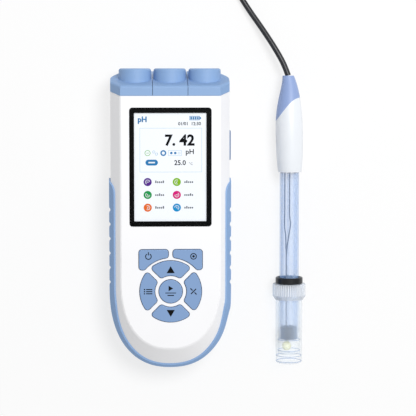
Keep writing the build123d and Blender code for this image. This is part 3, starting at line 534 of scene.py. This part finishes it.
bead_mesh = bpy.data.meshes.new("bottle_beads")
bead_mesh.from_pydata(spots, [], walls)
bead_form = bmesh.new()
bead_form.from_mesh(bead_mesh)
bmesh.ops.recalc_face_normals(bead_form, faces=bead_form.faces)
bead_form.to_mesh(bead_mesh)
bead_form.free()
bead_mesh.materials.append(thin_clear("bead_clear", linear(120, 156, 206), 0.1, 0.4, 0.4))
bottle_beads = bpy.data.objects.new("bottle_beads", bead_mesh)
scene.collection.objects.link(bottle_beads)
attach(bottle_beads, "bottle")
print(len(bead_places), "beads")

# %% [markdown]
# ## Display
# The screen is a lit panel, so it shines a little by itself and stays white under the pane. What it shows is
# made here as very thin solids just above the panel, one piece for each colour. Flat shapes are collected on
# one level and get their thickness all at once.

# %% Lit panel
def lit(name, colour, strength):
    """A part of a screen that shines by itself, over fine rows of pixels."""
    finish = Finish(name)
    rows = finish.node("ShaderNodeTexWave", {"bands_direction": "Y"},
                       {"Vector": finish.place(), "Scale": 3000.0, "Distortion": 0.0})
    shown = finish.blend(rows, scaled(colour, 0.97), colour)
    sockets = {
        "Base Color": shown,
        "Roughness": 0.4,
        "Specular IOR Level": 0.1,
        "Emission Color": shown,
        "Emission Strength": strength,
    }
    return finish.close(finish.plastic(sockets))


coat_node("display_screen", lit("screen_white", linear(250, 252, 255), 0.12))


# %% Flat prints
arc_step = 12
digit_share = 0.69


class Print:
    """Flat shapes in one colour on one level, given in millimetres about a middle point."""

    def __init__(self, middle_x, middle_y):
        self.form = bmesh.new()
        self.middle = (middle_x, middle_y)

    def polygon(self, points):
        placed = [((x + self.middle[0]) * MM, (y + self.middle[1]) * MM, 0) for x, y in points]
        self.form.faces.new([self.form.verts.new(spot) for spot in placed])

    def arc(self, x, y, outer, inner=0.0, start=0.0, sweep=360.0):
        """A disc, a ring or a stretch of a ring, as quads or thin wedges."""
        steps = max(6, round(sweep / arc_step))
        for step in range(steps):
            low, high = (radians(start + sweep * (step + more) / steps) for more in (0, 1))
            corners = [(outer, low), (outer, high), (inner, high)]
            if inner:
                corners.append((inner, low))
            self.polygon([(x + reach * cos(angle), y + reach * sin(angle)) for reach, angle in corners])

    def bar(self, x, y, width, height, turn=0.0):
        """A rectangle about its middle, turned by degrees."""
        angle = radians(turn)
        corners = [(-width, -height), (width, -height), (width, height), (-width, height)]
        self.polygon([(x + (u * cos(angle) - v * sin(angle)) / 2, y + (u * sin(angle) + v * cos(angle)) / 2)
                      for u, v in corners])

    def pill(self, x, y, width, height):
        """A rectangle with round ends."""
        self.bar(x, y, width - height, height)
        for side in (-1, 1):
            self.arc(x + side * (width - height) / 2, y, height / 2, start=-90 * side, sweep=180)

    def frame(self, x, y, width, height, line):
        """The outline of a rectangle."""
        for side in (-1, 1):
            self.bar(x, y + side * (height - line) / 2, width, line)
            self.bar(x + side * (width - line) / 2, y, line, height - 2 * line)

    def figures(self, text, right, foot, height, weight=0.0):
        """Figures or a unit, set to end at a right edge, with digits of the given height."""
        data = bpy.data.curves.new("figures", "FONT")
        data.body = text
        data.size = height / digit_share
        data.offset = weight
        data.align_x = "RIGHT"
        data.resolution_u = 3
        holder = bpy.data.objects.new("figures", data)
        flat = bpy.data.meshes.new_from_object(holder)
        flat.transform(Matrix.Translation((self.middle[0] + right, self.middle[1] + foot, 0)))
        flat.transform(Matrix.Scale(MM, 4))
        self.form.from_mesh(flat)
        bpy.data.objects.remove(holder)
        bpy.data.curves.remove(data)
        bpy.data.meshes.remove(flat)

    def make(self, name, level, depth, material, slot, body):
        """Gives the shapes their thickness and makes them a piece that rides on a body."""
        bmesh.ops.remove_doubles(self.form, verts=self.form.verts, dist=0.001 * MM)
        lifted = bmesh.ops.extrude_face_region(self.form, geom=self.form.faces[:])["geom"]
        top = [part for part in lifted if isinstance(part, bmesh.types.BMVert)]
        bmesh.ops.translate(self.form, verts=top, vec=(0, 0, depth * MM))
        bmesh.ops.translate(self.form, verts=self.form.verts, vec=(0, 0, level * MM))
        bmesh.ops.recalc_face_normals(self.form, faces=self.form.faces)
        mesh = bpy.data.meshes.new(name)
        self.form.to_mesh(mesh)
        self.form.free()
        mesh.materials.append(material)
        piece = bpy.data.objects.new(name, mesh)
        scene.collection.objects.link(piece)
        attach(piece, body)
        return piece


def middle_of(node):
    """The middle of a node's box and its highest level, in millimetres."""
    low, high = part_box(node)
    return (low[0] + high[0]) / 2 / MM, (low[1] + high[1]) / 2 / MM, high[2] / MM


# %% Picture on the display
screen_x, screen_y, screen_top = middle_of("display_screen")
picture_lift = 0.02
picture_depth = 0.03
print_shine = 0.02
icon_row = 8.6
battery_x, battery_y = 14.8, 29.9
pill_x, pill_y = -11.4, 2.8
figures_black = Print(screen_x, screen_y)
figures_black.figures("7. 42", 14.8, 13.4, 6.3, weight=0.3)
figures_black.figures("pH", 14.6, 8.0, 3.0, weight=0.07)
figures_black.figures("25.0", 9.5, 1.3, 2.9, weight=0.07)
figures_black.figures("\u00b0C", 13.7, 1.3, 1.5)
figures_grey = Print(screen_x, screen_y)
figures_grey.figures("01/01  12:30", 18.7, 25.6, 1.9, weight=0.06)
figures_blue = Print(screen_x, screen_y)
figures_blue.figures("pH", -14.2, 27.6, 3.2, weight=0.16)
figures_blue.frame(battery_x, battery_y, 6.2, 2.5, 0.3)
figures_blue.bar(battery_x + 3.5, battery_y, 0.8, 1.2)
for number in range(4):
    figures_blue.bar(battery_x - 2.05 + 1.35 * number, battery_y, 1.0, 1.5)
figures_blue.pill(pill_x, pill_y, 7.6, 3.6)
figures_blue.arc(-4.3, icon_row, 1.8, 0.95)
for star_x in (0.6, 3.0):
    figures_blue.arc(star_x, icon_row, 0.75)
pale_lines = Print(screen_x, screen_y)
pale_lines.frame(0.3, 10.4, 38.0, 27.0, 0.22)
pale_lines.frame(2.8, icon_row, 8.2, 3.4, 0.25)
pale_lines.arc(5.3, icon_row, 0.8, 0.5)
pale_lines.arc(-10.1, icon_row + 0.7, 0.9, 0.55)
pale_lines.arc(-8.4, icon_row - 0.6, 0.9, 0.55)
green_lines = Print(screen_x, screen_y)
green_lines.arc(-13.9, icon_row, 1.8, 1.4)
green_lines.bar(-13.9, icon_row, 1.6, 0.35)
picture = {
    "picture_black": (figures_black, linear(16, 17, 19)),
    "picture_grey": (figures_grey, linear(60, 63, 68)),
    "picture_blue": (figures_blue, linear(44, 128, 186)),
    "picture_pale": (pale_lines, linear(196, 220, 238)),
    "picture_green": (green_lines, linear(150, 206, 130)),
}
for name, (shapes, colour) in picture.items():
    shapes.make(name, screen_top + picture_lift, picture_depth, lit(name, colour, print_shine),
                "screen", "meter")

# %% Menu on the display
menu_rows = (-9.1, -17.0, -24.8)
menu_columns = (-13.9, 3.9)
disc_radius = 2.5
menu_colours = [
    ("purple", (92, 46, 146)), ("lime", (142, 196, 34)), ("green", (30, 158, 80)),
    ("magenta", (226, 24, 126)), ("orange", (242, 112, 40)), ("azure", (22, 150, 212)),
]


def show(shapes, name, colour, lift=picture_lift):
    """One colour of the menu, above the panel."""
    finish = lit(name, linear(*colour), print_shine)
    shapes.make(name, screen_top + lift, picture_depth, finish, "screen", "meter")


label_grey = Print(screen_x, screen_y)
sign_white = Print(screen_x, screen_y)
sign_white.bar(pill_x, pill_y, 4.0, 0.9)
for number, (name, colour) in enumerate(menu_colours):
    row, column = menu_rows[number // 2], menu_columns[number % 2]
    disc = Print(screen_x, screen_y)
    disc.arc(column, row, disc_radius)
    show(disc, "menu_" + name, colour)
    sign_white.arc(column, row, 1.45, 1.1, start=60 * number, sweep=240)
    sign_white.bar(column, row, 1.3, 0.4, turn=60 * number)
    for stroke in range(5):
        tall = 1.5 if (stroke * 3 + number) % 4 == 0 else 1.0
        label_grey.bar(column + 5.0 + 1.15 * stroke, row - 0.6 + tall / 2, 0.75, tall)
show(label_grey, "menu_labels", (92, 96, 104))
show(sign_white, "menu_signs", (246, 248, 250), lift=picture_lift + picture_depth)
print("display with", len(picture) + len(menu_colours) + 2, "pieces of picture")

# %% [markdown]
# ## Prints on the keys
# The keys carry small black signs: the power sign, arrows, a list, a cross and a start sign. Each is a thin
# print on its own key, so that it goes down with the key when that is pressed.

# %% Key prints
print_depth = 0.02
ink = moulding("ink_black", linear(9, 10, 12), 0.5, 2600.0, 0.0, shade=0.8, shine=0.1)


def arrow(shapes, way):
    """A triangle that points up for 1 and down for -1."""
    shapes.polygon([(-2.5, -2.3 * way), (2.5, -2.3 * way), (0, 2.0 * way)][::way])


def key_print(key, draw):
    """A print about the middle of a key's top."""
    x, y, top = middle_of(key)
    shapes = Print(x, y)
    draw(shapes)
    return shapes.make(key + "_print", top, print_depth, ink, "black_print", key)


def power_sign(shapes):
    shapes.arc(-3.2, 2.1, 2.0, 1.45, start=120, sweep=300)
    shapes.bar(-3.2, 3.8, 0.55, 2.0)


def target_sign(shapes):
    shapes.arc(3.6, 2.1, 2.0, 1.45)
    shapes.arc(3.6, 2.1, 0.75)


def list_sign(shapes):
    for row in (-1, 0, 1):
        shapes.bar(0.5, row * 1.3, 3.8, 0.6)
        shapes.arc(-2.4, row * 1.3, 0.42)


def cross_sign(shapes):
    shapes.bar(0.3, 0, 4.4, 0.65, turn=45)
    for side in (-1, 1):
        shapes.bar(0.3 - side * 1.25, side * 1.25, 1.85, 0.65, turn=-45)


def start_sign(shapes):
    shapes.polygon([(-1.3, 0.2), (1.5, 1.9), (-1.3, 3.6)])
    shapes.bar(0, -0.9, 6.6, 0.5)
    shapes.bar(0, -2.4, 4.0, 0.6)


key_print("key_up", lambda shapes: arrow(shapes, 1))
key_print("key_down", lambda shapes: arrow(shapes, -1))
key_print("key_upper_left", power_sign)
key_print("key_upper_right", target_sign)
key_print("key_left", list_sign)
key_print("key_right", cross_sign)
key_print("key_centre", start_sign)
print("7 key prints")
